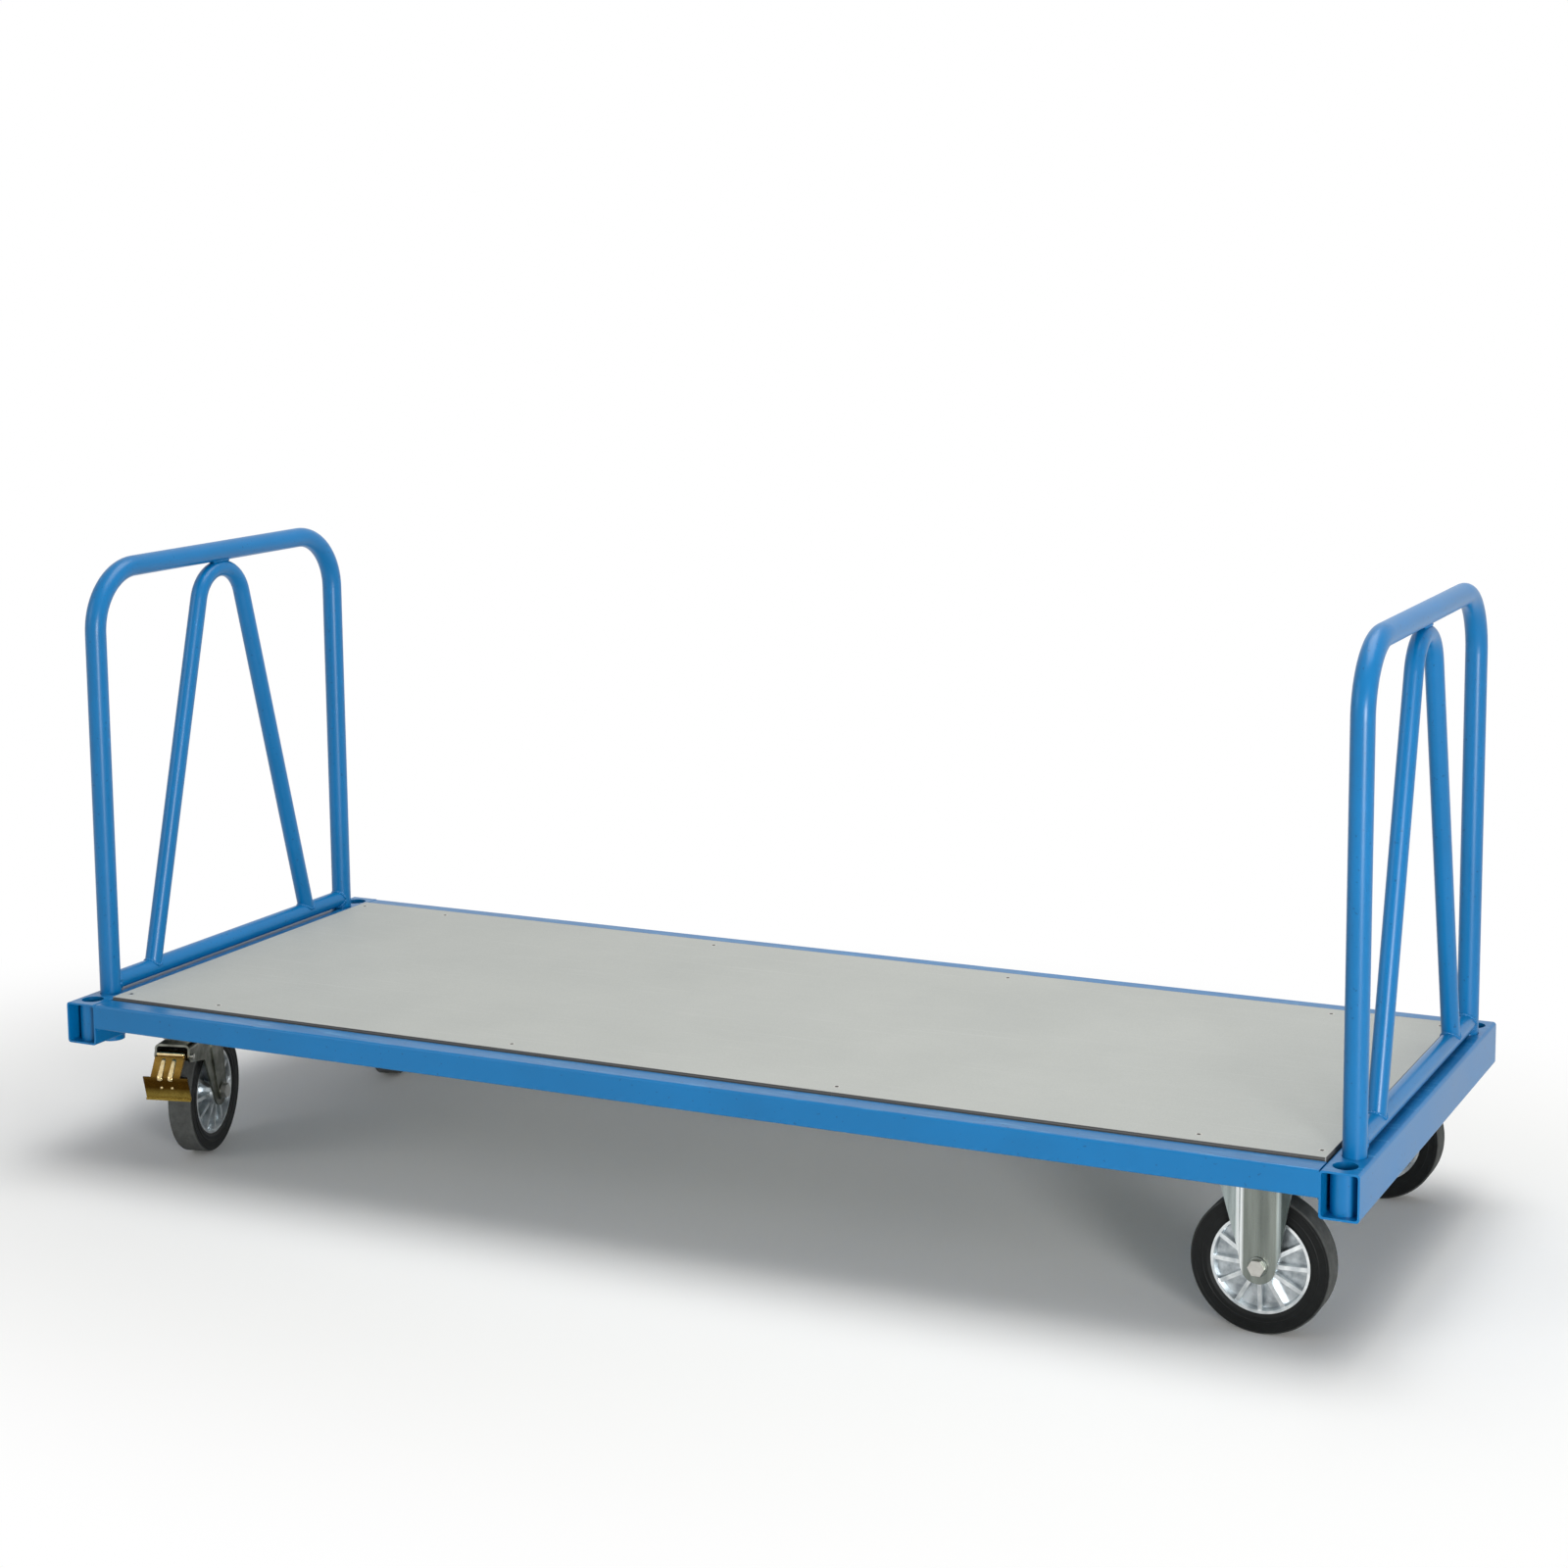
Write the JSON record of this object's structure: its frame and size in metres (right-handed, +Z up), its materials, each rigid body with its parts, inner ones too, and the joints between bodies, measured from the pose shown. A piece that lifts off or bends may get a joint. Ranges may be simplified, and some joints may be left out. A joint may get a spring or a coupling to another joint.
{
  "type": "long material cart",
  "caption": "Long flat platform cart with a framed deck, plug-in braced push bars at both ends, corner stake sockets, fixed castors at one end and braked swivel castors at the other.",
  "frame": {"origin": "on the floor under the middle of the deck", "axes": "+X along the deck towards the fixed castors, +Y across the deck away from the picture's viewer, +Z up"},
  "size_m": [2.144, 0.8062, 0.9838],
  "materials": {
    "blue_paint": "glossy powder coat",
    "coated_board": "coated board, satin",
    "plated_steel": "bright zinc plated",
    "zinc_sheet": "pressed sheet, zinc plated",
    "cast_aluminium": "die cast, satin",
    "rubber": "moulded, matte",
    "bearing_steel": "ground",
    "yellow_passivated_steel": "yellow passivated sheet, satin"
  },
  "bodies": {
    "frame": {"end_beam_left": "blue_paint", "corner_sockets_left": "blue_paint", "leg_sleeves_left": "blue_paint", "castor_mount_left_near": "blue_paint", "castor_mount_left_far": "blue_paint", "end_beam_right": "blue_paint", "corner_sockets_right": "blue_paint", "leg_sleeves_right": "blue_paint", "castor_mount_right_near": "blue_paint", "castor_mount_right_far": "blue_paint", "side_rail_near": "blue_paint", "side_rail_far": "blue_paint", "cross_member_1": "blue_paint", "cross_member_2": "blue_paint", "cross_member_3": "blue_paint", "cross_member_4": "blue_paint", "cross_member_5": "blue_paint", "cross_member_6": "blue_paint", "deck_board": "coated_board", "deck_screws": "plated_steel", "leg_stop_pins": "plated_steel", "castor_bolts": "plated_steel", "castor_nuts": "plated_steel", "fixed_axle_nuts": "plated_steel", "fixed_axle_near": "plated_steel", "swivel_kingpin_near": "plated_steel", "fixed_fork_near": "zinc_sheet", "swivel_plate_near": "zinc_sheet", "fixed_axle_far": "plated_steel", "swivel_kingpin_far": "plated_steel", "fixed_fork_far": "zinc_sheet", "swivel_plate_far": "zinc_sheet"},
    "push_bar_left": {"push_bow_left": "blue_paint", "push_crossbar_left": "blue_paint", "push_brace_left": "blue_paint"},
    "push_bar_right": {"push_bow_right": "blue_paint", "push_crossbar_right": "blue_paint", "push_brace_right": "blue_paint"},
    "wheel_fixed_near": {"wheel_rim_fixed_near": "cast_aluminium", "wheel_tyre_fixed_near": "rubber", "wheel_bearings_fixed_near": "bearing_steel"},
    "wheel_fixed_far": {"wheel_rim_fixed_far": "cast_aluminium", "wheel_tyre_fixed_far": "rubber", "wheel_bearings_fixed_far": "bearing_steel"},
    "swivel_near": {"swivel_fork_near": "zinc_sheet", "swivel_axle_near": "plated_steel", "swivel_axle_nut_near": "plated_steel", "pedal_pin_near": "plated_steel"},
    "wheel_swivel_near": {"wheel_rim_swivel_near": "cast_aluminium", "wheel_tyre_swivel_near": "rubber", "wheel_bearings_swivel_near": "bearing_steel"},
    "pedal_near": {"brake_pedal_near": "yellow_passivated_steel"},
    "swivel_far": {"swivel_fork_far": "zinc_sheet", "swivel_axle_far": "plated_steel", "swivel_axle_nut_far": "plated_steel", "pedal_pin_far": "plated_steel"},
    "wheel_swivel_far": {"wheel_rim_swivel_far": "cast_aluminium", "wheel_tyre_swivel_far": "rubber", "wheel_bearings_swivel_far": "bearing_steel"},
    "pedal_far": {"brake_pedal_far": "yellow_passivated_steel"}
  },
  "joints": [
    {"name": "push_bar_left_lift", "type": "slide", "parent": "frame", "child": "push_bar_left", "axis": [0, 0, 1], "range_m": [0, 0.055]},
    {"name": "push_bar_right_lift", "type": "slide", "parent": "frame", "child": "push_bar_right", "axis": [0, 0, 1], "range_m": [0, 0.055]},
    {"name": "wheel_fixed_near_spin", "type": "hinge", "parent": "frame", "child": "wheel_fixed_near", "pos_m": [0.9135, -0.306, 0.1], "axis": [0, 1, 0], "continuous": true},
    {"name": "wheel_fixed_far_spin", "type": "hinge", "parent": "frame", "child": "wheel_fixed_far", "pos_m": [0.9135, 0.306, 0.1], "axis": [0, 1, 0], "continuous": true},
    {"name": "swivel_near_turn", "type": "hinge", "parent": "frame", "child": "swivel_near", "pos_m": [-0.91, -0.306, 0.21], "axis": [0, 0, 1], "continuous": true},
    {"name": "wheel_swivel_near_spin", "type": "hinge", "parent": "swivel_near", "child": "wheel_swivel_near", "pos_m": [-0.92452, -0.24778, 0.1], "axis": [-0.9703, -0.2419, 0], "continuous": true},
    {"name": "pedal_near_press", "type": "hinge", "parent": "swivel_near", "child": "pedal_near", "pos_m": [-0.8979, -0.35451, 0.19], "axis": [0.9703, 0.2419, 0], "range_deg": [0, 11]},
    {"name": "swivel_far_turn", "type": "hinge", "parent": "frame", "child": "swivel_far", "pos_m": [-0.91, 0.306, 0.21], "axis": [0, 0, 1], "continuous": true},
    {"name": "wheel_swivel_far_spin", "type": "hinge", "parent": "swivel_far", "child": "wheel_swivel_far", "pos_m": [-0.88752, 0.25037, 0.1], "axis": [0.9272, 0.3746, 0], "continuous": true},
    {"name": "pedal_far_press", "type": "hinge", "parent": "swivel_far", "child": "pedal_far", "pos_m": [-0.92873, 0.35236, 0.19], "axis": [-0.9272, -0.3746, 0], "range_deg": [0, 11]}
  ]
}
